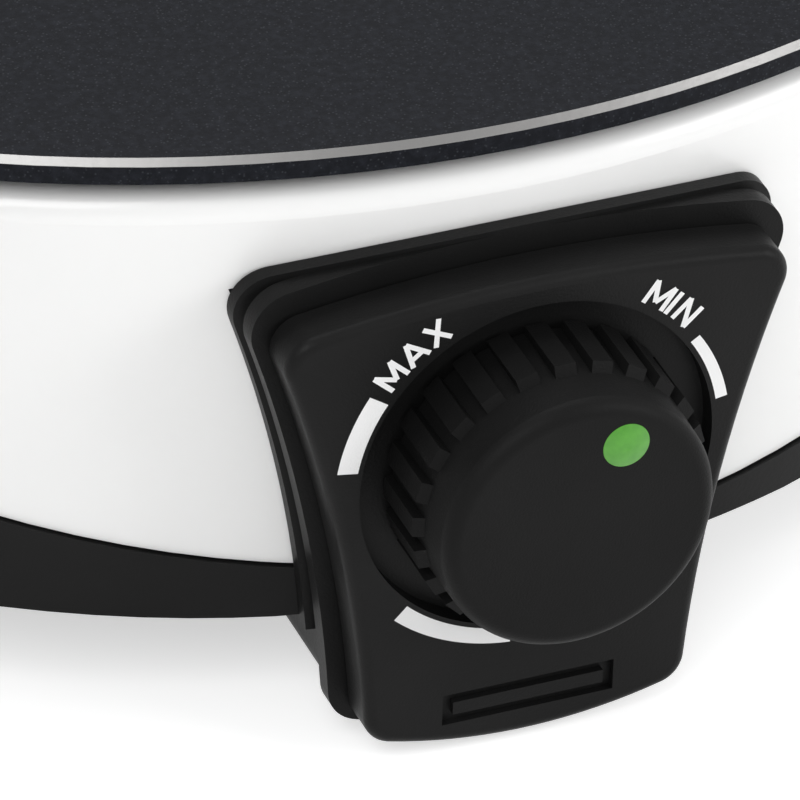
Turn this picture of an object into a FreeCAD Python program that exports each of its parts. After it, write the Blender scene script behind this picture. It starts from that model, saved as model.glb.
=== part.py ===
import FreeCAD, Part
import math
import os
import Sketcher

# Electric crepe maker: a cast cooking plate over a tapered white housing, with a
# black base ring and a control box at the front. Millimetres, Z up, front is -Y,
# and the origin lies under the middle of the plate, on the table.

DIMENSIONS = {
    "overall_height": 93, "plate_radius": 150, "plate_thickness": 5, "rim_depth": 3.6,
    "bevel_height": 0.9, "bevel_width": 0.8, "rim_step": 5, "skirt_gap": 2, "skirt_width": 3,
    "skirt_depth": 4, "boss_circle": 62, "boss_radius": 6, "boss_bore": 1.7,
    "shield_drop": 24, "shield_gauge": 0.8, "shield_radius": 122, "shield_rim": 10,
    "element_circle": 95, "element_radius": 4, "element_gap": 0.1, "element_sweep": 320,
    "leg_length": 32, "leg_radius": 3, "clamp_length": 24, "clamp_width": 10, "clamp_gauge": 2,
    "clamp_clearance": 0.2, "clamp_screw_offset": 8.5, "screw_bore": 1.6, "screw_head": 3,
    "screw_head_height": 2, "screw_bite": 3, "plate_clearance": 2, "shoulder_inset": 1.8,
    "shoulder_round": 4, "wall_taper": 4.2, "housing_wall": 2.5, "lip_width": 8,
    "foot_height": 16, "base_low": 5.4, "base_high": 20, "base_step": 0.8, "base_wall": 4,
    "arch_radius": 270, "scallop_radius": 900, "scallop_rise": 4.4, "cover_lift": 0.4,
    "arch_shift": 15, "scallop_shift": 8, "seam_gap": 0.3, "ledge_width": 12.8, "ledge_depth": 2,
    "cover_gauge": 2.3, "cover_margin": 0.4, "cover_screw_inset": 6.8, "foot_inset": 12,
    "foot_radius": 9, "stem_radius": 3, "post_radius": 6, "post_bore": 2.2, "post_sink": 4.2,
    "vent_inner": 78, "vent_outer": 100, "vent_width": 4, "tower_radius": 4.2,
    "tower_inset": 4.8, "tower_height": 30, "face_stand": 9.8, "dial_height": 45,
    "face_low_width": 22.8, "face_low": 40, "low_bow": 74.8, "face_top_width": 36.8,
    "face_top": 25.5, "top_bow": 202.6, "side_bow": 232, "corner_round": 4.5, "cover_depth": 6.8,
    "cover_wall": 2.8, "face_round": 1.6, "dish_radius": 25, "dish_depth": 3, "dish_floor": 2.2,
    "frame_wall": 2.4, "neck_grow": 0.6, "groove_depth": 0.8, "ridge_grow": 2.6,
    "ridge_width": 3, "lip_grow": 3.2, "lip_gauge": 2.2, "neck_reach": 34, "spigot_length": 2.1,
    "slot_width": 24.6, "slot_height": 4.8, "slot_drop": 37, "slot_sink": 1.1,
    "bar_width": 21.6, "bar_height": 2, "knob_front": 18.7, "knob_base": 19.6,
    "knob_rise": 15.5, "knob_gap": 0.8, "knob_wall": 2.2, "knob_round": 2, "rib_reach": 20.7,
    "rib_root": 17.6, "rib_width": 3, "rib_rise": 11.4, "rib_slant": 1.4, "lens_dome": 8,
    "hub_radius": 6.5, "lens_radius": 3.3, "lens_circle": 13, "lens_angle": 64,
    "lens_length": 2.6, "lens_proud": 0.7, "spindle_radius": 3, "spindle_front": 8,
    "spindle_back": 13.2, "clip_gauge": 0.5, "clip_length": 8, "running_gap": 0.05,
    "diffuser_radius": 13, "diffuser_bore": 3.6, "bush_radius": 4.5, "bracket_back": 10,
    "bracket_gauge": 1.5, "bracket_width": 34, "bracket_height": 11, "bracket_screw": 13,
    "nut_width": 11, "nut_height": 3, "stack_offset": 10, "stack_radius": 4.5,
    "stack_disc": 3.4, "blade_gauge": 0.5, "blade_length": 26, "blade_width": 6,
    "contact_radius": 1.6, "lamp_radius": 2.6, "lamp_length": 9, "lamp_drop": 9.5,
    "holder_wall": 1.2, "block_width": 36, "block_depth": 14, "block_height": 13,
    "block_place": 40, "fuse_radius": 3, "fuse_length": 24, "fuse_place": 38, "clip_width": 8,
    "gland_radius": 6, "gland_flange": 9, "gland_bore": 3.7, "gland_height": 34,
    "gland_length": 14, "gland_step": 2.2, "flange_gauge": 2.5,
}

ELEMENT_GAP_AT = -90.0
PLATE_FIXINGS = 4
COVER_FIXINGS = 6
KNOB_RIBS = 24
VENTS = 20
BIG = 400.0


class Size:
    """A number together with the sheet expression that gives it."""

    def __init__(self, value, words):
        self.value = float(value)
        self.words = words

    def join(self, other, sign, value):
        return Size(value, "(" + self.words + " " + sign + " " + words(other) + ")")

    def __add__(self, other):
        return self.join(other, "+", self.value + num(other))

    def __sub__(self, other):
        return self.join(other, "-", self.value - num(other))

    def __radd__(self, other):
        return self + other

    def __rsub__(self, other):
        return -self + other

    def __mul__(self, other):
        return self.join(other, "*", self.value * num(other))

    def __truediv__(self, other):
        return self.join(other, "/", self.value / num(other))

    def __neg__(self):
        return Size(-self.value, "(-1 * " + self.words + ")")


class Sheet:
    """The driving dimensions, each an attribute named as its cell."""

    def __init__(self, values):
        self.values = values

    def __getattr__(self, name):
        return Size(self.values[name], "Dimensions." + name)


def num(quantity):
    return quantity.value if isinstance(quantity, Size) else float(quantity)


def words(quantity):
    return quantity.words if isinstance(quantity, Size) else repr(float(quantity))


doc = FreeCAD.newDocument("CrepeMaker")
d = Sheet(DIMENSIONS)
nodes = []


def fill_sheet():
    sheet = doc.addObject("Spreadsheet::Sheet", "Dimensions")
    for row, (name, value) in enumerate(DIMENSIONS.items(), start=1):
        sheet.set("A%d" % row, name)
        sheet.set("B%d" % row, str(value))
        sheet.setAlias("B%d" % row, name)
    doc.recompute()


def bind(thing, prop, quantity):
    """Give a property its value, and its expression if it has one."""
    if isinstance(quantity, Size):
        thing.setExpression(prop, quantity.words)


def put(thing, x=0.0, y=0.0, z=0.0, rotation=None):
    """Place a piece, with each bound coordinate tied to the sheet."""
    turn = rotation if rotation else FreeCAD.Rotation()
    thing.Placement = FreeCAD.Placement(FreeCAD.Vector(num(x), num(y), num(z)), turn)
    bind(thing, "Placement.Base.x", x)
    bind(thing, "Placement.Base.y", y)
    bind(thing, "Placement.Base.z", z)
    return thing


def node(thing, name):
    """Name a finished sub-part and list it for the STEP files."""
    thing.Label = name
    nodes.append(thing)
    return thing


def turned(degrees, axis=(0, 0, 1)):
    return FreeCAD.Rotation(FreeCAD.Vector(*axis), degrees)


FACING = turned(90, (1, 0, 0))


def put_on_face(thing, x=0.0, y=0.0, z=0.0, spin=0.0):
    """Place a piece in the control face: x right, y up, z out of the face."""
    rotation = FACING.multiply(turned(spin))
    return put(thing, x, -(face_distance + z), d.dial_height + y, rotation)


# Part primitives

def cylinder(radius, height, x=0.0, y=0.0, z=0.0, rotation=None):
    piece = doc.addObject("Part::Cylinder", "Cylinder")
    piece.Radius = num(radius)
    piece.Height = num(height)
    bind(piece, "Radius", radius)
    bind(piece, "Height", height)
    return put(piece, x, y, z, rotation)


def block(length, width, height, x=0.0, y=0.0, z=0.0):
    """A box centred on x and y, standing on z."""
    piece = doc.addObject("Part::Box", "Box")
    for prop, quantity in (("Length", length), ("Width", width), ("Height", height)):
        setattr(piece, prop, num(quantity))
        bind(piece, prop, quantity)
    return put(piece, half_back(x, length), half_back(y, width), z)


def half_back(middle, length):
    """Where a box starts when it is centred."""
    half = length / 2
    if isinstance(half, Size):
        return -half + middle
    return middle - half


def cone(low, high, height, z):
    piece = doc.addObject("Part::Cone", "Cone")
    for prop, quantity in (("Radius1", low), ("Radius2", high), ("Height", height)):
        setattr(piece, prop, num(quantity))
        bind(piece, prop, quantity)
    return put(piece, 0.0, 0.0, z)


def ball(radius, z):
    piece = doc.addObject("Part::Sphere", "Ball")
    piece.Radius = num(radius)
    bind(piece, "Radius", radius)
    return put(piece, 0.0, 0.0, z)


def fuse(*pieces):
    joined = doc.addObject("Part::MultiFuse", "Fusion")
    joined.Shapes = list(pieces)
    return joined


def cut(base, *tools):
    """Take the tools away from the base."""
    rest = doc.addObject("Part::Cut", "Cut")
    rest.Base = base
    rest.Tool = tools[0] if len(tools) == 1 else fuse(*tools)
    return rest


def common(*pieces):
    shared = doc.addObject("Part::MultiCommon", "Common")
    shared.Shapes = list(pieces)
    return shared


def group(*pieces):
    """Separate solids kept in one node."""
    together = doc.addObject("Part::Compound", "Group")
    together.Links = list(pieces)
    return together


def around(angle, radius):
    """Place on a circle about the Z axis."""
    return radius * math.cos(math.radians(angle)), radius * math.sin(math.radians(angle))


# Sketches and features

def new_body(name):
    return doc.addObject("PartDesign::Body", name)


def new_sketch(body, role, lift=0.0):
    sketch = body.newObject("Sketcher::SketchObject", "Sketch")
    plane = [item for item in body.Origin.OriginFeatures if item.Role == role][0]
    sketch.AttachmentSupport = [(plane, "")]
    sketch.MapMode = "FlatFace"
    sketch.AttachmentOffset = FreeCAD.Placement(FreeCAD.Vector(0, 0, num(lift)), turned(0))
    bind(sketch, "AttachmentOffset.Base.z", lift)
    return sketch


def pin_point(sketch, element, end, x, y):
    """Tie one point of a sketch to its coordinates."""
    for kind, axis, quantity in (("DistanceX", -2, x), ("DistanceY", -1, y)):
        if num(quantity) == 0.0:
            sketch.addConstraint(Sketcher.Constraint("PointOnObject", element, end, axis))
            continue
        rule = Sketcher.Constraint(kind, -1, 1, element, end, num(quantity))
        index = sketch.addConstraint(rule)
        bind(sketch, "Constraints[%d]" % index, quantity)


def add_circle(sketch, x, y, radius):
    middle = FreeCAD.Vector(num(x), num(y), 0)
    element = sketch.addGeometry(Part.Circle(middle, FreeCAD.Vector(0, 0, 1), num(radius)))
    pin_point(sketch, element, 3, x, y)
    index = sketch.addConstraint(Sketcher.Constraint("Radius", element, num(radius)))
    bind(sketch, "Constraints[%d]" % index, radius)


def arc_between(start, finish, radius, left):
    """The shorter arc between two points, and which of its ends is the start."""
    chord = finish - start
    half = chord.Length / 2
    rise = math.sqrt(radius * radius - half * half)
    side = FreeCAD.Vector(-chord.y, chord.x, 0).normalize() * (rise if left else -rise)
    centre = (start + finish) * 0.5 + side
    first, last = (start, finish) if left else (finish, start)
    low = math.atan2(first.y - centre.y, first.x - centre.x)
    high = math.atan2(last.y - centre.y, last.x - centre.x)
    if high < low:
        high += 2 * math.pi
    circle = Part.Circle(centre, FreeCAD.Vector(0, 0, 1), radius)
    return Part.ArcOfCircle(circle, low, high), (1, 2) if left else (2, 1)


def add_outline(sketch, points, bows=None):
    """A closed outline; bows gives (radius, centre on the left) for its curved sides."""
    bows = bows or {}
    ends = []
    for place, (x, y) in enumerate(points):
        start = FreeCAD.Vector(num(x), num(y), 0)
        after = points[(place + 1) % len(points)]
        finish = FreeCAD.Vector(num(after[0]), num(after[1]), 0)
        if place in bows:
            radius, left = bows[place]
            curve, pair = arc_between(start, finish, num(radius), left)
            element = sketch.addGeometry(curve)
            index = sketch.addConstraint(Sketcher.Constraint("Radius", element, num(radius)))
            bind(sketch, "Constraints[%d]" % index, radius)
        else:
            element = sketch.addGeometry(Part.LineSegment(start, finish))
            pair = (1, 2)
        ends.append((element, pair))
    for place, (element, pair) in enumerate(ends):
        follower, its_pair = ends[(place + 1) % len(ends)]
        sketch.addConstraint(
            Sketcher.Constraint("Coincident", element, pair[1], follower, its_pair[0]))
        pin_point(sketch, element, pair[0], points[place][0], points[place][1])


def revolve(body, points, bows=None, cutting=False):
    """Turn an outline of radius and height about the Z axis."""
    sketch = new_sketch(body, "XZ_Plane")
    add_outline(sketch, points, bows)
    kind = "PartDesign::Groove" if cutting else "PartDesign::Revolution"
    feature = body.newObject(kind, "Turned")
    feature.Profile = sketch
    feature.ReferenceAxis = (sketch, ["V_Axis"])
    feature.Angle = 360.0
    return feature


def pad(body, sketch, length):
    feature = body.newObject("PartDesign::Pad", "Pad")
    feature.Profile = sketch
    feature.Length = num(length)
    bind(feature, "Length", length)
    return feature


def pocket(body, sketch, depth, upward=False):
    """Cut a sketch below its plane, or above it."""
    feature = body.newObject("PartDesign::Pocket", "Pocket")
    feature.Profile = sketch
    feature.Length = num(depth)
    bind(feature, "Length", depth)
    feature.Reversed = upward
    return feature


def repeat(body, features, count):
    """Copy features round the body's Z axis."""
    pattern = body.newObject("PartDesign::PolarPattern", "Repeat")
    pattern.Originals = features
    axis = [item for item in body.Origin.OriginFeatures if item.Role == "Z_Axis"][0]
    pattern.Axis = (axis, [""])
    pattern.Angle = 360.0
    pattern.Occurrences = count
    body.Tip = pattern
    return pattern


def soften(body, size, chosen, chamfer=False):
    """Round or chamfer the edges that the test picks."""
    doc.recompute()
    base = body.Tip
    names = ["Edge%d" % (place + 1) for place, edge in enumerate(base.Shape.Edges) if chosen(edge)]
    kind = "PartDesign::Chamfer" if chamfer else "PartDesign::Fillet"
    feature = body.newObject(kind, "Softened")
    feature.Base = (base, names)
    prop = "Size" if chamfer else "Radius"
    setattr(feature, prop, num(size))
    bind(feature, prop, size)
    return feature


def screw(head, head_height, shank, length, x, y, z, rotation=None):
    """A screw standing on its head, with its shank along the turned Z axis."""
    top = cylinder(head, head_height, x, y, z, rotation)
    stem = cylinder(shank, length, x, y, z, rotation)
    return fuse(top, stem)


# Heights and places that several pieces share

plate_under = d.overall_height - d.plate_thickness
shoulder_top = plate_under - d.plate_clearance
shoulder_height = shoulder_top - d.shoulder_round
shield_height = plate_under - d.shield_drop
shoulder_radius = d.plate_radius - d.shoulder_inset
foot_line_radius = shoulder_radius - d.wall_taper
lip_radius = shoulder_radius - d.lip_width
skirt_radius = lip_radius - d.skirt_width - d.skirt_gap
ring_radius = foot_line_radius + d.base_step
ring_inner = ring_radius - d.base_wall
ledge_inner = ring_inner - d.ledge_width
tower_circle = ring_inner - d.tower_inset
cover_screw_circle = ring_inner - d.cover_screw_inset
foot_circle = ledge_inner - d.foot_inset
face_distance = shoulder_radius + d.face_stand
ring_top = d.foot_height + d.base_high
ring_low = d.foot_height + d.base_low
cover_under = d.foot_height + d.cover_lift
ledge_under = cover_under + d.cover_gauge
ledge_top = ledge_under + d.ledge_depth
element_height = plate_under - d.element_gap - d.element_radius
post_top = shield_height - d.shield_gauge
dish_back = -d.dish_depth - d.dish_floor
bracket_front = d.bracket_gauge - d.bracket_back
knob_back = d.knob_gap - d.dish_depth


def wall_radius(height):
    """Outer radius of the tapered housing at a height."""
    share = (height - d.foot_height) / (shoulder_height - d.foot_height)
    return foot_line_radius + (shoulder_radius - foot_line_radius) * share


# Cooking plate and heating

def cooking_plate():
    body = new_body("Plate")
    edge = d.plate_radius
    skirt = skirt_radius + d.skirt_width
    revolve(body, [
        (0, plate_under), (skirt_radius, plate_under),
        (skirt_radius, plate_under - d.skirt_depth), (skirt, plate_under - d.skirt_depth),
        (skirt, plate_under), (edge - d.rim_step, plate_under),
        (edge, d.overall_height - d.rim_depth), (edge, d.overall_height - d.bevel_height),
        (edge - d.bevel_width, d.overall_height), (0, d.overall_height)])
    x = d.boss_circle * math.sqrt(0.5)
    sketch = new_sketch(body, "XY_Plane", shield_height)
    add_circle(sketch, x, x, d.boss_radius)
    boss = pad(body, sketch, plate_under - shield_height)
    sketch = new_sketch(body, "XY_Plane", shield_height)
    add_circle(sketch, x, x, d.boss_bore)
    bore = pocket(body, sketch, plate_under - shield_height, upward=True)
    sketch = new_sketch(body, "XY_Plane", plate_under)
    for offset in (d.clamp_screw_offset, -d.clamp_screw_offset):
        far = (d.element_circle + offset) * math.sqrt(0.5)
        add_circle(sketch, far, far, d.screw_bore)
    blind = pocket(body, sketch, d.screw_bite, upward=True)
    repeat(body, [boss, bore, blind], PLATE_FIXINGS)
    node(body, "cooking_plate")


def heating_element():
    tube = doc.addObject("Part::Torus", "Ring")
    for prop, quantity in (("Radius1", d.element_circle), ("Radius2", d.element_radius),
                           ("Angle3", d.element_sweep)):
        setattr(tube, prop, num(quantity))
        bind(tube, prop, quantity)
    half_gap = (360 - DIMENSIONS["element_sweep"]) / 2
    put(tube, z=element_height, rotation=turned(ELEMENT_GAP_AT + half_gap))
    foot = element_height - d.leg_length
    legs = [cylinder(d.leg_radius, d.leg_length, x, y, foot) for x, y in leg_places()]
    node(fuse(tube, *legs), "heating_element")


def leg_places():
    half_gap = (360 - DIMENSIONS["element_sweep"]) / 2
    return [around(ELEMENT_GAP_AT + side * half_gap, d.element_circle) for side in (-1, 1)]


def diagonal_places(radius):
    return [around(angle, radius) for angle in (45, 135, 225, 315)]


def element_clamps():
    straps = []
    fixings = []
    drop = d.element_radius * 2 + d.element_gap + d.clamp_clearance
    low = plate_under - drop - d.clamp_gauge
    for angle in (45, 135, 225, 315):
        outer = block(d.clamp_length, d.clamp_width, drop + d.clamp_gauge)
        inner = block(d.element_radius * 2 + 2, d.clamp_width * 2, drop, z=0)
        inner.setExpression("Placement.Base.z", d.clamp_gauge.words)
        bores = [cylinder(d.screw_bore, BIG, offset, 0, -BIG / 2)
                 for offset in (d.clamp_screw_offset, -d.clamp_screw_offset)]
        strap = cut(outer, inner, *bores)
        x, y = around(angle, d.element_circle)
        straps.append(put(strap, x, y, low, turned(angle)))
        for offset in (d.clamp_screw_offset, -d.clamp_screw_offset):
            x, y = around(angle, d.element_circle + offset)
            length = drop + d.clamp_gauge + d.screw_head_height + d.screw_bite - d.seam_gap
            fixings.append(screw(d.screw_head, d.screw_head_height, d.screw_bore, length,
                                 x, y, low - d.screw_head_height))
    node(group(*straps), "element_clamps")
    node(group(*fixings), "clamp_screws")


def heat_shield():
    body = new_body("Shield")
    low = shield_height - d.shield_gauge
    high = shield_height + d.shield_rim
    outer = d.shield_radius + d.shield_gauge
    revolve(body, [(0, low), (outer, low), (outer, high), (d.shield_radius, high),
                   (d.shield_radius, shield_height), (0, shield_height)])
    sketch = new_sketch(body, "XY_Plane", shield_height)
    for x, y in diagonal_places(d.boss_circle):
        add_circle(sketch, x, y, d.post_bore)
    for x, y in leg_places():
        add_circle(sketch, x, y, d.leg_radius + 1)
    pocket(body, sketch, d.shield_gauge * 2)
    node(body, "heat_shield")


# Casing

def arches(radius, low, shift, grow=0.0):
    """All that lies above four long arches, lowest near the front, back and sides."""
    height = radius + low
    front = cylinder(radius + grow, BIG, shift, BIG / 2, height, turned(90, (1, 0, 0)))
    side = cylinder(radius + grow, BIG, -BIG / 2, 0, height, turned(90, (0, 1, 0)))
    return fuse(front, side)


def box_outline(grow, floor_lift, back, front, rounding=True):
    """The control box outline as a prism between two depths behind its face."""
    body = new_body("Outline")
    sketch = new_sketch(body, "XY_Plane", back)
    low = d.face_low_width + grow
    top = d.face_top_width + grow
    foot = -d.face_low + floor_lift
    head = d.face_top + grow
    add_outline(sketch, [(-low, foot), (low, foot), (top, head), (-top, head)],
                {0: (d.low_bow, True), 1: (d.side_bow, False),
                 2: (d.top_bow, True), 3: (d.side_bow, False)})
    pad(body, sketch, front - back)
    if rounding:
        soften(body, d.corner_round + grow / 2,
               lambda edge: abs(edge.BoundBox.ZLength - num(front - back)) < 0.01
               and edge.BoundBox.XLength < 0.01)
    return body


def window(grow):
    """The opening that the control box takes out of the casing."""
    prism = box_outline(grow, 0.0, -d.neck_reach * 1.3, d.knob_rise, rounding=False)
    below = block(d.face_low_width * 2 + grow * 2, BIG / 4, d.dial_height, 0, -BIG * 0.45, -5)
    return fuse(put_on_face(prism), below)


def housing_shell():
    body = new_body("Housing")
    rounding = d.shoulder_round
    wall = d.housing_wall
    top = shoulder_radius
    inside = wall * 0.16
    revolve(body, [
        (wall_radius(ring_low), ring_low), (top, shoulder_height),
        (top - rounding, shoulder_top), (lip_radius, shoulder_top),
        (lip_radius, shoulder_top - wall), (top - rounding - inside, shoulder_top - wall),
        (top - wall, shoulder_height - inside), (wall_radius(ring_low) - wall, ring_low)],
        {1: (rounding, True)})
    skirt = cylinder(shoulder_radius, ring_top - ring_low + d.skirt_width + d.seam_gap,
                     0, 0, ring_low - d.skirt_width)
    below = cut(skirt, arches(d.arch_radius, ring_low, d.arch_shift, -d.seam_gap))
    hole = cylinder(d.gland_radius + d.seam_gap, BIG / 2, 0, BIG / 2, d.gland_height,
                    turned(90, (1, 0, 0)))
    shell = cut(body, below, window(d.neck_grow + d.seam_gap), hole)
    node(shell, "housing_shell")


def base_ring():
    body = new_body("Ring")
    inner = ring_inner
    head = wall_radius(ring_top) + d.base_step
    revolve(body, [
        (inner, d.foot_height), (ring_radius - d.base_step, d.foot_height),
        (ring_radius, d.foot_height + d.base_step), (head, ring_top),
        (head - d.base_wall, ring_top), (inner, ledge_top), (ledge_inner, ledge_top),
        (ledge_inner, ledge_under), (inner, ledge_under)])
    scoop = cut(common(arches(d.arch_radius, ring_low, d.arch_shift),
                       cylinder(shoulder_radius, BIG, 0, 0, ledge_top + d.seam_gap)),
                cylinder(tower_circle + d.tower_radius + d.seam_gap, BIG))
    slab = cylinder(shoulder_radius, d.scallop_rise, 0, 0, d.foot_height)
    scallops = cut(slab, arches(d.scallop_radius, d.foot_height, d.scallop_shift),
                   cylinder(inner, BIG))
    bores = [cylinder(d.screw_bore, BIG / 8, x, y, 0) for x, y in cover_places()]
    towers = []
    for x, y in diagonal_places(tower_circle):
        towers.append(cylinder(d.tower_radius, d.tower_height, x, y, ledge_top))
    front = window(d.neck_grow + d.seam_gap)
    ring = cut(fuse(body, *towers), scoop, scallops, front, *bores)
    node(ring, "base_ring")


def cover_places():
    step = 360.0 / COVER_FIXINGS
    return [around(step * place, cover_screw_circle) for place in range(COVER_FIXINGS)]


def bottom_cover():
    body = new_body("Cover")
    radius = ring_inner - d.cover_margin
    sketch = new_sketch(body, "XY_Plane", cover_under)
    add_circle(sketch, 0, 0, radius)
    pad(body, sketch, d.cover_gauge)
    x = d.boss_circle * math.sqrt(0.5)
    sketch = new_sketch(body, "XY_Plane", ledge_under)
    add_circle(sketch, x, x, d.post_radius)
    post = pad(body, sketch, post_top - ledge_under)
    sketch = new_sketch(body, "XY_Plane", cover_under)
    add_circle(sketch, x, x, d.post_bore)
    bore = pocket(body, sketch, post_top, upward=True)
    sketch = new_sketch(body, "XY_Plane", cover_under)
    add_circle(sketch, x, x, d.post_sink)
    sink = pocket(body, sketch, d.cover_gauge * 4, upward=True)
    seat = foot_circle * math.sqrt(0.5)
    sketch = new_sketch(body, "XY_Plane", cover_under)
    add_circle(sketch, seat, seat, d.stem_radius)
    stem = pocket(body, sketch, d.cover_gauge, upward=True)
    repeat(body, [post, bore, sink, stem], PLATE_FIXINGS)
    sketch = new_sketch(body, "XY_Plane", cover_under)
    half = d.vent_width / 2
    add_outline(sketch, [(d.vent_inner, -half), (d.vent_outer, -half),
                         (d.vent_outer, half), (d.vent_inner, half)])
    vent = pocket(body, sketch, d.cover_gauge, upward=True)
    repeat(body, [vent], VENTS)
    sketch = new_sketch(body, "XY_Plane", cover_under)
    add_circle(sketch, 0, 0, d.stem_radius)
    for x, y in cover_places():
        add_circle(sketch, x, y, d.screw_bore)
    pocket(body, sketch, d.cover_gauge, upward=True)
    node(cut(body, window(d.neck_grow + d.seam_gap)), "bottom_cover")


def casing_screws():
    sink = d.cover_gauge * 4 + cover_under
    long_ones = [screw(d.post_sink - 0.4, d.screw_head_height, d.boss_bore, BIG / 6,
                       x, y, sink - d.screw_head_height)
                 for x, y in diagonal_places(d.boss_circle)]
    for piece in long_ones:
        shank = piece.Shapes[1]
        bind(shank, "Height", plate_under - sink - d.seam_gap)
    node(group(*long_ones), "plate_screws")
    short = [screw(d.screw_head, d.screw_head_height, d.screw_bore,
                   d.screw_head_height + d.cover_gauge + d.ledge_depth, x, y,
                   cover_under - d.screw_head_height) for x, y in cover_places()]
    node(group(*short), "cover_screws")


def rubber_feet():
    feet = []
    for x, y in diagonal_places(foot_circle) + [(0.0, 0.0)]:
        foot = cylinder(d.foot_radius, cover_under, x, y, 0)
        stem = cylinder(d.stem_radius, ledge_under, x, y, 0)
        feet.append(fuse(foot, stem))
    node(group(*feet), "rubber_feet")


# Control box

def control_frame():
    reach = -d.neck_reach
    front = -d.cover_depth - d.groove_depth
    inside = -d.frame_wall - d.cover_wall
    neck = box_outline(d.neck_grow, 0.0, reach, front)
    ridge = box_outline(d.ridge_grow, 0.0, front - d.ridge_width, front)
    flange = cut(put_on_face(ridge), wall_cone(d.seam_gap))
    lip = common(put_on_face(box_outline(d.lip_grow, 0.0, reach, front)),
                 cut(wall_cone(d.seam_gap + d.lip_gauge), wall_cone(d.seam_gap)))
    spigot = box_outline(-d.cover_wall - d.running_gap, d.cover_wall + d.running_gap,
                         front, front + d.spigot_length)
    hollow = box_outline(d.neck_grow - d.frame_wall, d.frame_wall, reach * 1.2,
                         front - d.frame_wall)
    mouth = box_outline(inside, -inside, reach, d.cover_depth)
    outside = fuse(put_on_face(neck), flange, lip, put_on_face(spigot))
    node(cut(outside, put_on_face(hollow), put_on_face(mouth)), "control_frame")


def wall_cone(gap):
    """A solid of the casing's outside, grown by a gap."""
    return cone(foot_line_radius + gap + d.base_step, shoulder_radius + gap,
                shoulder_height - d.foot_height, d.foot_height)


def control_cover():
    seat = -d.cover_depth
    body = box_outline(0.0, 0.0, seat, 0.0)
    soften(body, d.face_round, lambda edge: edge.BoundBox.ZMin > -0.01)
    sketch = new_sketch(body, "XY_Plane", seat)
    inside = -d.cover_wall
    low = d.face_low_width + inside
    top = d.face_top_width + inside
    add_outline(sketch, [(-low, -d.face_low - inside), (low, -d.face_low - inside),
                         (top, d.face_top + inside), (-top, d.face_top + inside)],
                {0: (d.low_bow, True), 1: (d.side_bow, False),
                 2: (d.top_bow, True), 3: (d.side_bow, False)})
    pocket(body, sketch, d.cover_depth - d.cover_wall, upward=True)
    sketch = new_sketch(body, "XY_Plane", dish_back)
    add_circle(sketch, 0, 0, d.dish_radius + d.dish_floor)
    pad(body, sketch, -dish_back - d.cover_wall)
    sketch = new_sketch(body, "XY_Plane", 0)
    add_circle(sketch, 0, 0, d.dish_radius)
    pocket(body, sketch, d.dish_depth)
    sketch = new_sketch(body, "XY_Plane", -d.dish_depth)
    add_circle(sketch, 0, 0, d.diffuser_radius)
    pocket(body, sketch, d.dish_floor)
    sketch = new_sketch(body, "XY_Plane", 0)
    for width, height in ((d.slot_width, d.slot_height), (d.bar_width, d.bar_height)):
        x = width / 2
        y = height / 2
        add_outline(sketch, [(-x, -d.slot_drop - y), (x, -d.slot_drop - y),
                             (x, -d.slot_drop + y), (-x, -d.slot_drop + y)])
    pocket(body, sketch, d.slot_sink)
    node(put_on_face(body), "control_cover")


def dial_parts():
    ring = cut(cylinder(d.diffuser_radius - d.running_gap, d.dish_floor),
               cylinder(d.diffuser_bore, d.dish_floor * 3, 0, 0, -d.dish_floor))
    node(put_on_face(ring, z=dish_back), "light_diffuser")
    body = new_body("Knob")
    rise = d.knob_rise
    root = d.knob_base - d.knob_wall
    revolve(body, [
        (0, rise - d.knob_wall), (d.knob_front - d.knob_wall, rise - d.knob_wall),
        (root, knob_back), (d.knob_base, knob_back), (d.knob_front + 0.4, rise - d.knob_round),
        (d.knob_front - d.knob_round, rise), (0, rise)], {4: (d.knob_round * 1.15, True)})
    sketch = new_sketch(body, "XY_Plane", rise - d.knob_wall)
    add_circle(sketch, 0, 0, d.hub_radius)
    hub = pad(body, sketch, rise - d.knob_wall - knob_back)
    hub.Reversed = True
    sketch = new_sketch(body, "XY_Plane", knob_back - 2)
    add_circle(sketch, 0, 0, d.spindle_radius + d.clip_gauge + d.running_gap)
    pocket(body, sketch, d.spindle_front + 2 - knob_back, upward=True)
    sketch = new_sketch(body, "XZ_Plane", -d.rib_width / 2)
    add_outline(sketch, [
        (d.rib_root, knob_back), (d.rib_reach, knob_back),
        (d.rib_reach, knob_back + d.rib_rise - d.rib_slant), (d.rib_root, knob_back + d.rib_rise)])
    rib = pad(body, sketch, d.rib_width)
    repeat(body, [rib], KNOB_RIBS)
    sketch = new_sketch(body, "XY_Plane", rise)
    turn = math.radians(DIMENSIONS["lens_angle"])
    add_circle(sketch, d.lens_circle * math.cos(turn), d.lens_circle * math.sin(turn),
               d.lens_radius)
    pocket(body, sketch, d.lens_length)
    node(put_on_face(body), "control_knob")
    stub = cylinder(d.lens_radius - d.running_gap, d.lens_length + d.lens_proud)
    lens = common(stub, ball(d.lens_dome, d.lens_length + d.lens_proud - d.lens_dome))
    put_on_face(lens, d.lens_circle * math.cos(turn), d.lens_circle * math.sin(turn),
                rise - d.lens_length)
    node(lens, "knob_lens")
    sleeve = cut(cylinder(d.spindle_radius + d.clip_gauge, d.clip_length),
                 cylinder(d.spindle_radius + d.running_gap, BIG, 0, 0, -BIG / 2))
    node(put_on_face(sleeve, z=d.spindle_front - d.clip_length), "knob_clip")
    spindle = cylinder(d.spindle_radius, d.spindle_front + d.spindle_back)
    node(put_on_face(spindle, z=-d.spindle_back), "thermostat_spindle")


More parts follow.
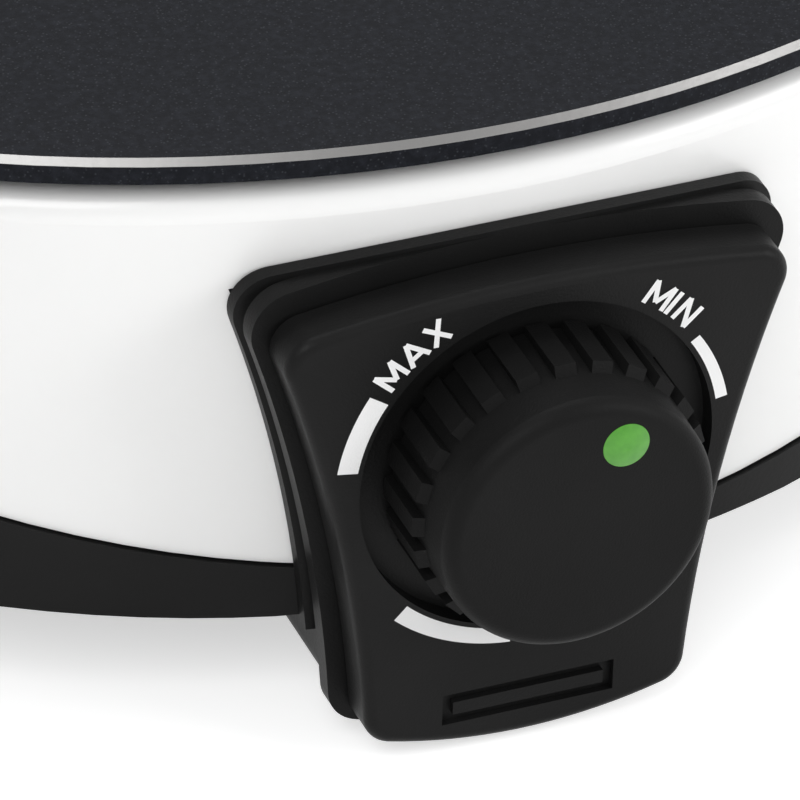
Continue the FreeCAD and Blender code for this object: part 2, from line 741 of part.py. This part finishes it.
def thermostat():
    slack = d.spindle_radius + d.running_gap
    back = -d.bracket_back
    plate = block(d.bracket_width, d.bracket_height, d.bracket_gauge)
    bush = cylinder(d.bush_radius, d.bracket_gauge + d.nut_height)
    screw_bores = [cylinder(d.screw_bore, BIG, x, 0, -BIG / 2)
                   for x in (-d.bracket_screw, d.bracket_screw)]
    frame = cut(fuse(plate, bush), cylinder(slack, BIG, 0, 0, -BIG / 2), *screw_bores)
    node(put_on_face(frame, z=back), "thermostat_bracket")
    nut = doc.addObject("Part::Prism", "Nut")
    nut.Polygon = 6
    nut.Circumradius = num(d.nut_width) / math.sqrt(3)
    nut.Height = num(d.nut_height)
    bind(nut, "Circumradius", d.nut_width / math.sqrt(3))
    bind(nut, "Height", d.nut_height)
    ring = cut(nut, cylinder(d.bush_radius, BIG, 0, 0, -BIG / 2))
    node(put_on_face(ring, z=bracket_front), "thermostat_nut")
    discs = []
    strips = []
    step = d.stack_disc + d.blade_gauge
    place = d.blade_length / 2 - d.stack_radius - d.stack_offset
    for layer in range(3):
        level = back - step * layer - d.stack_disc
        disc = cut(cylinder(d.stack_radius, d.stack_disc), through_bore())
        discs.append(put_on_face(disc, -d.stack_offset, 0, level))
        blade = block(d.blade_length, d.blade_width, d.blade_gauge)
        strip = cut(blade, through_bore(-d.blade_length / 2 + d.stack_radius))
        strips.append(put_on_face(strip, place, 0, level - d.blade_gauge))
    node(group(*discs), "ceramic_spacers")
    node(group(*strips[:2]), "contact_blades")
    node(strips[2], "bimetal_strip")
    contact = cylinder(d.contact_radius, d.stack_disc)
    tip = place + d.blade_length / 2 - d.contact_radius - 1
    node(put_on_face(contact, tip, 0, back - step - d.stack_disc), "silver_contacts")
    length = step * 3 + d.bracket_gauge + d.screw_head_height
    stack_screw = screw(d.screw_head, d.screw_head_height, d.screw_bore - d.running_gap,
                        length - d.bracket_gauge, 0, 0, 0)
    node(put_on_face(stack_screw, -d.stack_offset, 0, back - step * 3 - d.screw_head_height),
         "stack_screw")


def through_bore(x=0.0):
    return cylinder(d.screw_bore, BIG, x, 0, -BIG / 2)


def lamp():
    glass = cylinder(d.lamp_radius, d.lamp_length)
    front = dish_back - 0.2
    node(put_on_face(glass, 0, d.lamp_drop, front - d.lamp_length), "pilot_lamp")
    outer = block((d.lamp_radius + d.holder_wall) * 2, (d.lamp_radius + d.holder_wall) * 2,
                  d.lamp_length / 2)
    holder = cut(outer, cylinder(d.lamp_radius + d.running_gap, BIG, 0, 0, -BIG / 2))
    node(put_on_face(holder, 0, d.lamp_drop, front - d.lamp_length / 2 - d.running_gap),
         "lamp_holder")


# Electrical pieces inside the casing

def terminal_block():
    bores = [cylinder(d.holder_wall, BIG, offset, BIG / 2, ledge_under + d.block_height / 2,
                      turned(90, (1, 0, 0))) for offset in (-10, 0, 10)]
    body = cut(block(d.block_width, d.block_depth, d.block_height, 0, d.block_place, ledge_under),
               *bores)
    node(body, "terminal_block")


def thermal_fuse():
    low = post_top - d.fuse_radius * 2 - d.seam_gap
    along = turned(90, (0, 1, 0))
    barrel = cylinder(d.fuse_radius, d.fuse_length, -d.fuse_length / 2, d.fuse_place,
                      low + d.fuse_radius, along)
    node(barrel, "thermal_fuse")
    wall = d.holder_wall
    strap = block(d.clip_width, d.fuse_radius * 2 + wall * 2, d.fuse_radius * 2 + wall + d.seam_gap,
                  0, d.fuse_place, low - wall)
    gap = cylinder(d.fuse_radius + d.running_gap, d.fuse_length, -d.fuse_length / 2, d.fuse_place,
                   low + d.fuse_radius, along)
    node(cut(strap, gap), "fuse_clip")


def cable_gland():
    face = wall_radius(d.gland_height)
    back = turned(90, (1, 0, 0))
    barrel = cylinder(d.gland_radius, d.gland_length, 0, face + d.gland_step, d.gland_height, back)
    flange = cylinder(d.gland_flange, d.flange_gauge, 0, face + d.flange_gauge + d.gland_step,
                      d.gland_height, back)
    bore = cylinder(d.gland_bore, BIG, 0, face + BIG / 2, d.gland_height, back)
    node(cut(fuse(barrel, flange), bore), "cable_gland")


def save_all():
    doc.recompute()
    faults = [item.Name + " " + item.Label for item in doc.Objects
              if "Invalid" in item.State or "Error" in item.State]
    for item in nodes:
        if item.Shape.isNull() or not item.Shape.isValid() or not item.Shape.Solids:
            faults.append(item.Label + " has no valid solid")
    if faults:
        raise SystemExit("Not built: " + ", ".join(faults))
    os.makedirs("parts", exist_ok=True)
    for item in nodes:
        item.Shape.exportStep("parts/" + item.Label + ".step")
        box = item.Shape.BoundBox
        print(item.Label, len(item.Shape.Solids), round(item.Shape.Volume),
              [round(v, 1) for v in (box.XMin, box.XMax, box.YMin, box.YMax, box.ZMin, box.ZMax)])


fill_sheet()
for build in (cooking_plate, heating_element, element_clamps, heat_shield, housing_shell,
              base_ring, bottom_cover, casing_screws, rubber_feet, control_frame, control_cover,
              dial_parts, thermostat, lamp, terminal_block, thermal_fuse, cable_gland):
    build()
save_all()
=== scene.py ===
import math

import bpy
from mathutils import Matrix, Vector


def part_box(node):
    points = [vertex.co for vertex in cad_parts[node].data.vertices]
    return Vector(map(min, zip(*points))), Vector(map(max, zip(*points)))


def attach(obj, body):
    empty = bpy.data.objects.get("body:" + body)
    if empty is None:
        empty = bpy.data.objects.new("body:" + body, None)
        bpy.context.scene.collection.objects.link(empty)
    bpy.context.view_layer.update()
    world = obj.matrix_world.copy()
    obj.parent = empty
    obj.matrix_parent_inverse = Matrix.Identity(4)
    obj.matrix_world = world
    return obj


# Electric crepe maker. Metres, Z up, the front is -Y.

MM = 0.001

# The photograph's view: where the camera stands and what it centres
VIEW_TURN = -22.8
VIEW_RISE = 34.3
VIEW_ROLL = 1.6
FOCAL_PIXELS = 9000.0
FRAME_PIXELS = 800.0
SENSOR = 36.0
DIAL_PIXEL = (536.8, 464.0)
PIXELS_PER_MM = 7.64
NEAREST, FARTHEST = 0.01, 50.0

# How bright the surroundings are
WORLD_LIGHT = 0.5
FLOOR_GLOW = 0.56

# The floor, in metres, just under the feet
FLOOR_SIZE = 8.0
FLOOR_HEIGHT = -0.0002

# The bare bevel: how far in from the plate's edge and down from its top, in millimetres
BEVEL_REACH = 0.85
BEVEL_DROP = 0.95

# The dial print, in millimetres and degrees, seen from the front
PRINT_LIFT = 0.05
PRINT_RADIUS = 25.7
PRINT_WIDE = 3.1
PRINT_NARROW = 1.5
PRINT_STEP = 1.5
PRINT_PARTS = ((146.0, 170.0), (226.0, 264.0), (370.0, 394.0))
PRINT_FROM, PRINT_TO = PRINT_PARTS[0][0], PRINT_PARTS[-1][1]
LETTER_HEIGHT = 3.7
LETTER_RADIUS = 26.3
STROKE = 0.72
STROKE_LIFT = 0.4
LETTERS = (("M", 138.2), ("A", 129.6), ("X", 121.5), ("M", 54.0), ("I", 48.6), ("N", 43.0))

# The strokes of each letter, as fractions of its height
STROKES = {
    "M": ((-0.42, 0, -0.42, 1), (-0.42, 1, 0, 0.2), (0, 0.2, 0.42, 1), (0.42, 1, 0.42, 0)),
    "A": ((-0.4, 0, 0, 1), (0, 1, 0.4, 0), (-0.25, 0.3, 0.25, 0.3)),
    "X": ((-0.34, 0, 0.34, 1), (-0.34, 1, 0.34, 0)),
    "I": ((0, 0, 0, 1),),
    "N": ((-0.32, 0, -0.32, 1), (-0.32, 1, 0.32, 0), (0.32, 0, 0.32, 1)),
}

# How drawn marks are stretched along bare metal
DRAWN = (1.0, 1.0, 0.05)

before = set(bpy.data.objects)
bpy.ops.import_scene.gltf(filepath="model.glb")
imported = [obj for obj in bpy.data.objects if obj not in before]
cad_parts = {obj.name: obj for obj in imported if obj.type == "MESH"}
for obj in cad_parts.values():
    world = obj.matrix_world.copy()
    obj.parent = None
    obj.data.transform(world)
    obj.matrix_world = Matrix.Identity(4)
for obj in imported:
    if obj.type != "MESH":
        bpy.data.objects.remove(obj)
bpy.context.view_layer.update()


def dial_middle():
    """Where the knob's axis meets the control face."""
    knob_low, knob_high = (Vector(corner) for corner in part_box("control_knob"))
    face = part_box("control_cover")[0][1]
    return Vector(((knob_low.x + knob_high.x) / 2, face, (knob_low.z + knob_high.z) / 2))


DIAL = dial_middle()


class Nodes:
    """A short way to lay out a material's node tree."""

    def __init__(self, name):
        self.material = bpy.data.materials.new(name)
        self.material.use_nodes = True
        self.tree = self.material.node_tree
        self.shader = self.tree.nodes["Principled BSDF"]

    def add(self, kind, **values):
        made = self.tree.nodes.new(kind)
        for key, value in values.items():
            if key in made.inputs:
                made.inputs[key].default_value = value
            else:
                setattr(made, key, value)
        return made

    def link(self, source, output, target, socket):
        self.tree.links.new(source.outputs[output], target.inputs[socket])

    def set(self, **values):
        for key, value in values.items():
            self.shader.inputs[key.replace("_", " ")].default_value = value

    def place(self):
        return self.add("ShaderNodeTexCoord")

    def noise(self, scale, detail=3.0, rough=0.5):
        noise = self.add("ShaderNodeTexNoise", Scale=scale, Detail=detail, Roughness=rough)
        self.link(self.place(), "Object", noise, "Vector")
        return noise

    def ramp(self, source, output, stops):
        ramp = self.add("ShaderNodeValToRGB")
        elements = ramp.color_ramp.elements
        while len(elements) < len(stops):
            elements.new(0.5)
        for element, (position, colour) in zip(elements, stops):
            element.position = position
            element.color = colour
        self.link(source, output, ramp, "Fac")
        return ramp

    def bump(self, source, output, strength, distance):
        bump = self.add("ShaderNodeBump", Strength=strength, Distance=distance)
        self.link(source, output, bump, "Height")
        self.link(bump, "Normal", self.shader, "Normal")

    def roughness(self, source, output, low, high):
        spread = self.add("ShaderNodeMapRange")
        spread.inputs["To Min"].default_value = low
        spread.inputs["To Max"].default_value = high
        self.link(source, output, spread, "Value")
        self.link(spread, "Result", self.shader, "Roughness")


def grey(value):
    return (value, value, value, 1.0)


def moulded(name, dark, pale, rough, grain_scale, grain, coat=0.0, shine=0.5):
    """Moulded plastic: a faint cloudiness in the colour and a fine grain."""
    make = Nodes(name)
    cloud = make.noise(35.0)
    colour = make.ramp(cloud, "Fac", ((0.3, dark), (0.7, pale)))
    make.link(colour, "Color", make.shader, "Base Color")
    make.roughness(cloud, "Fac", *rough)
    fine = make.noise(grain_scale, 4.0)
    make.bump(fine, "Fac", grain, 0.0002)
    make.set(Specular_IOR_Level=shine)
    if coat:
        make.set(Coat_Weight=coat, Coat_Roughness=0.08)
    return make.material


def white_plastic():
    return moulded("white_plastic", (0.815, 0.815, 0.81, 1), (0.825, 0.825, 0.82, 1),
                   rough=(0.28, 0.34), grain_scale=900.0, grain=0.03, coat=0.2)


def black_plastic():
    return moulded("black_plastic", grey(0.0075), grey(0.0105),
                   rough=(0.36, 0.46), grain_scale=2600.0, grain=0.25, shine=0.08)


def base_plastic():
    return moulded("base_plastic", grey(0.0075), grey(0.0105),
                   rough=(0.28, 0.38), grain_scale=1500.0, grain=0.12, shine=0.07)


def knob_plastic():
    return moulded("knob_plastic", grey(0.006), grey(0.0085),
                   rough=(0.42, 0.52), grain_scale=3200.0, grain=0.3, shine=0.06)


def ceramic():
    return moulded("ceramic", (0.72, 0.68, 0.6, 1), (0.8, 0.76, 0.68, 1),
                   rough=(0.6, 0.75), grain_scale=1800.0, grain=0.3)


def pale_plastic():
    return moulded("pale_plastic", (0.6, 0.6, 0.56, 1), (0.68, 0.68, 0.64, 1),
                   rough=(0.45, 0.55), grain_scale=1500.0, grain=0.2)


def rubber():
    return moulded("rubber", grey(0.02), grey(0.032),
                   rough=(0.75, 0.88), grain_scale=2200.0, grain=0.4)


def print_white():
    return moulded("print_white", grey(0.78), grey(0.84),
                   rough=(0.5, 0.6), grain_scale=3000.0, grain=0.15)


def metal(name, colour, rough, scale=400.0):
    """Bare metal with drawn marks."""
    make = Nodes(name)
    mapping = make.add("ShaderNodeMapping")
    mapping.inputs["Scale"].default_value = DRAWN
    make.link(make.place(), "Object", mapping, "Vector")
    noise = make.add("ShaderNodeTexNoise", Scale=scale, Detail=6.0, Roughness=0.6)
    make.link(mapping, "Vector", noise, "Vector")
    low = tuple(0.85 * part for part in colour) + (1.0,)
    tone = make.ramp(noise, "Fac", ((0.3, low), (0.7, colour + (1.0,))))
    make.link(tone, "Color", make.shader, "Base Color")
    make.roughness(noise, "Fac", *rough)
    make.bump(noise, "Fac", 0.08, 0.0001)
    make.set(Metallic=1.0)
    return make.material


def bare_rim(make, coords):
    """One on the bevel round the plate's rim, else zero."""
    low, high = (Vector(corner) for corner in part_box("cooking_plate"))
    axes = make.add("ShaderNodeSeparateXYZ")
    make.link(coords, "Object", axes, "Vector")
    flat = make.add("ShaderNodeCombineXYZ")
    make.link(axes, "X", flat, "X")
    make.link(axes, "Y", flat, "Y")
    reach = make.add("ShaderNodeVectorMath", operation="LENGTH")
    make.link(flat, "Vector", reach, "Vector")
    outside = make.add("ShaderNodeMath", operation="GREATER_THAN")
    outside.inputs[1].default_value = (high.x - low.x) / 2 - BEVEL_REACH * MM
    make.link(reach, "Value", outside, 0)
    above = make.add("ShaderNodeMath", operation="GREATER_THAN")
    above.inputs[1].default_value = high.z - BEVEL_DROP * MM
    make.link(axes, "Z", above, 0)
    bare = make.add("ShaderNodeMath", operation="MULTIPLY")
    make.link(outside, "Value", bare, 0)
    make.link(above, "Value", bare, 1)
    return bare


def coated_plate():
    """Speckled non-stick coating, with a bare bevel round the rim."""
    make = Nodes("coated_plate")
    coords = make.place()
    speckle = make.add("ShaderNodeTexVoronoi", Scale=1500.0)
    make.link(coords, "Object", speckle, "Vector")
    cloud = make.noise(700.0, 6.0, 0.7)
    dots = make.ramp(speckle, "Distance", ((0.10, (0.040, 0.043, 0.050, 1)),
                                           (0.28, (0.005, 0.0058, 0.008, 1))))
    tone = make.ramp(cloud, "Fac", ((0.42, (0.004, 0.0046, 0.0066, 1)),
                                    (0.72, (0.012, 0.0135, 0.018, 1))))
    coat = make.add("ShaderNodeMix", data_type="RGBA", blend_type="LIGHTEN")
    coat.inputs["Factor"].default_value = 0.6
    make.link(tone, "Color", coat, "A")
    make.link(dots, "Color", coat, "B")
    bare = bare_rim(make, coords)
    colour = make.add("ShaderNodeMix", data_type="RGBA")
    make.link(bare, "Value", colour, "Factor")
    make.link(coat, "Result", colour, "A")
    colour.inputs["B"].default_value = (0.20, 0.198, 0.195, 1)
    make.link(colour, "Result", make.shader, "Base Color")
    make.link(bare, "Value", make.shader, "Metallic")
    make.roughness(bare, "Value", 0.48, 0.34)
    make.bump(cloud, "Fac", 0.25, 0.00015)
    make.set(Specular_IOR_Level=0.07)
    return make.material


def green_light():
    """A lit green lens, faintly clouded."""
    make = Nodes("green_light")
    cloud = make.noise(900.0)
    tone = make.ramp(cloud, "Fac", ((0.2, (0.034, 0.17, 0.008, 1)),
                                    (0.8, (0.052, 0.22, 0.014, 1))))
    make.link(tone, "Color", make.shader, "Base Color")
    make.link(tone, "Color", make.shader, "Emission Color")
    make.set(Roughness=0.35, Emission_Strength=0.35)
    return make.material


def clear_glass():
    """The lamp's glass, tinted by the glow inside."""
    make = Nodes("lamp_glass")
    cloud = make.noise(200.0)
    tone = make.ramp(cloud, "Fac", ((0.2, (0.9, 0.62, 0.45, 1)),
                                    (0.8, (1.0, 0.75, 0.55, 1))))
    make.link(tone, "Color", make.shader, "Base Color")
    make.set(Roughness=0.05, Transmission_Weight=0.9, IOR=1.45)
    return make.material


def dress_nodes():
    """Each piece gets its finish, and what isn't listed is steel."""
    steel = metal("steel", (0.55, 0.55, 0.55), (0.28, 0.42))
    bright = metal("bright_sheet", (0.72, 0.72, 0.73), (0.2, 0.35), 250.0)
    brass = metal("brass", (0.62, 0.47, 0.2), (0.25, 0.4))
    black, base, knob = black_plastic(), base_plastic(), knob_plastic()
    green, pottery, pale = green_light(), ceramic(), pale_plastic()
    finishes = {
        "cooking_plate": coated_plate(), "housing_shell": white_plastic(), "base_ring": base,
        "bottom_cover": base, "cable_gland": base, "rubber_feet": rubber(),
        "control_frame": black, "control_cover": black, "control_knob": knob,
        "knob_lens": green, "light_diffuser": knob, "heat_shield": bright,
        "thermostat_nut": brass, "contact_blades": brass, "ceramic_spacers": pottery,
        "thermal_fuse": pottery, "pilot_lamp": clear_glass(), "lamp_holder": pale,
        "terminal_block": pale,
    }
    for name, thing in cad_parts.items():
        thing.data.materials.clear()
        thing.data.materials.append(finishes.get(name, steel))


def face_point(radius, degrees, lift=PRINT_LIFT):
    """A point of the control face, seen from the front, in metres."""
    turn = math.radians(degrees)
    return DIAL + Vector((radius * math.cos(turn), -lift, radius * math.sin(turn))) * MM


def flat_mesh(name, points, faces, material):
    mesh = bpy.data.meshes.new(name)
    mesh.from_pydata(points, [], faces)
    thing = bpy.data.objects.new(name, mesh)
    bpy.context.collection.objects.link(thing)
    mesh.materials.append(material)
    return thing


def print_width(degrees):
    """The band narrows evenly from MAX to MIN."""
    share = (degrees - PRINT_FROM) / (PRINT_TO - PRINT_FROM)
    return PRINT_WIDE + (PRINT_NARROW - PRINT_WIDE) * share


def dial_print(material):
    """The tapering band in three stretches, printed on the face."""
    points = []
    faces = []
    for start, stop in PRINT_PARTS:
        steps = int((stop - start) / PRINT_STEP)
        for step in range(steps + 1):
            degrees = start + (stop - start) * step / steps
            first = len(points)
            points.append(face_point(PRINT_RADIUS, degrees))
            points.append(face_point(PRINT_RADIUS + print_width(degrees), degrees))
            if step:
                faces.append((first - 2, first - 1, first + 1, first))
    band = flat_mesh("dial_band", points, faces, material)
    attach(band, "cooker")


def stroke_corners(stroke):
    """The four corners of one stroke, in millimetres from the letter's foot."""
    start = Vector(stroke[:2]) * LETTER_HEIGHT
    stop = Vector(stroke[2:]) * LETTER_HEIGHT
    across = (stop - start).normalized() * STROKE / 2
    side = Vector((-across.y, across.x))
    return start + side, start - side, stop - side, stop + side


def dial_letters(material):
    """MAX and MIN on the dial's circle, each stroke a little above the one before."""
    points = []
    faces = []
    for letter, degrees in LETTERS:
        turn = math.radians(degrees - 90)
        right = Vector((math.cos(turn), 0.0, math.sin(turn))) * MM
        up = Vector((-math.sin(turn), 0.0, math.cos(turn))) * MM
        for layer, stroke in enumerate(STROKES[letter]):
            foot = face_point(LETTER_RADIUS, degrees, PRINT_LIFT * (1 + STROKE_LIFT * layer))
            first = len(points)
            points.extend(foot + right * x + up * y for x, y in stroke_corners(stroke))
            faces.append(tuple(range(first, first + 4)))
    letters = flat_mesh("dial_letters", points, faces, material)
    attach(letters, "cooker")


def add_camera():
    """The camera stands so that the dial's middle falls on its pixel."""
    turn, rise = math.radians(VIEW_TURN), math.radians(VIEW_RISE)
    back = Vector((math.sin(turn) * math.cos(rise), -math.cos(turn) * math.cos(rise),
                   math.sin(rise)))
    aim = (-back).to_track_quat("-Z", "Y").to_matrix()
    aim = aim @ Matrix.Rotation(math.radians(VIEW_ROLL), 3, "Z")
    distance = FOCAL_PIXELS / PIXELS_PER_MM * MM
    right = (DIAL_PIXEL[0] - FRAME_PIXELS / 2) / FOCAL_PIXELS * distance
    up = (FRAME_PIXELS / 2 - DIAL_PIXEL[1]) / FOCAL_PIXELS * distance
    camera = bpy.data.objects.new("camera", bpy.data.cameras.new("camera"))
    camera.data.sensor_width = SENSOR
    camera.data.lens = FOCAL_PIXELS * SENSOR / FRAME_PIXELS
    camera.data.clip_start = NEAREST
    camera.data.clip_end = FARTHEST
    camera.location = DIAL - aim @ Vector((right, up, -distance))
    camera.rotation_mode = "QUATERNION"
    camera.rotation_quaternion = aim.to_quaternion()
    bpy.context.collection.objects.link(camera)
    bpy.context.scene.camera = camera


def seen_directly(tree):
    """One for the camera and for what shiny or clear things show, else zero."""
    path = tree.nodes.new("ShaderNodeLightPath")
    total = path.outputs["Is Camera Ray"]
    for name in ("Is Glossy Ray", "Is Transmission Ray"):
        add = tree.nodes.new("ShaderNodeMath")
        add.operation = "ADD"
        add.use_clamp = True
        tree.links.new(total, add.inputs[0])
        tree.links.new(path.outputs[name], add.inputs[1])
        total = add.outputs["Value"]
    return total


def spread(tree, source, low, high):
    """Map zero and one to two strengths."""
    ranged = tree.nodes.new("ShaderNodeMapRange")
    ranged.inputs["To Min"].default_value = low
    ranged.inputs["To Max"].default_value = high
    tree.links.new(source, ranged.inputs["Value"])
    return ranged.outputs["Result"]


def add_floor():
    """A pale floor that keeps the shadow and glows a little where it is seen."""
    bpy.ops.mesh.primitive_plane_add(size=FLOOR_SIZE, location=(0.0, 0.0, FLOOR_HEIGHT))
    floor = bpy.context.object
    floor.name = "floor"
    make = Nodes("floor")
    cloud = make.noise(3.0)
    tone = make.ramp(cloud, "Fac", ((0.2, grey(0.80)), (0.8, grey(0.82))))
    make.link(tone, "Color", make.shader, "Base Color")
    make.set(Roughness=0.9, Emission_Color=grey(1.0), Specular_IOR_Level=0.1)
    glow = spread(make.tree, seen_directly(make.tree), 0.0, FLOOR_GLOW)
    make.tree.links.new(glow, make.shader.inputs["Emission Strength"])
    floor.data.materials.append(make.material)


def add_world():
    world = bpy.data.worlds.new("studio")
    world.use_nodes = True
    bpy.context.scene.world = world
    shade = world.node_tree.nodes["Background"]
    shade.inputs["Color"].default_value = grey(1.0)
    strength = spread(world.node_tree, seen_directly(world.node_tree), WORLD_LIGHT, 1.0)
    world.node_tree.links.new(strength, shade.inputs["Strength"])


def add_light(name, place, aim, size, watts):
    """A soft lamp with a rectangular face, turned towards its aim."""
    lamp = bpy.data.lights.new(name, "AREA")
    lamp.shape = "RECTANGLE"
    lamp.size, lamp.size_y = size
    lamp.energy = watts
    thing = bpy.data.objects.new(name, lamp)
    thing.location = place
    direction = Vector(aim) - Vector(place)
    thing.rotation_euler = direction.to_track_quat("-Z", "Y").to_euler()
    bpy.context.collection.objects.link(thing)


def add_lights():
    add_light("key", place=(-0.9, -1.2, 1.5), aim=(0, -0.1, 0.05), size=(1.0, 1.0), watts=17.0)
    add_light("fill", place=(1.4, -1.3, 0.9), aim=(0, -0.1, 0.05), size=(0.9, 0.9), watts=17.0)
    add_light("top", place=(0.1, 0.5, 1.8), aim=(0, 0, 0.08), size=(1.4, 1.0), watts=14.0)


add_camera()
dress_nodes()
white_print = print_white()
dial_print(white_print)
dial_letters(white_print)
add_floor()
add_world()
add_lights()
bpy.context.scene.view_settings.view_transform = "Standard"
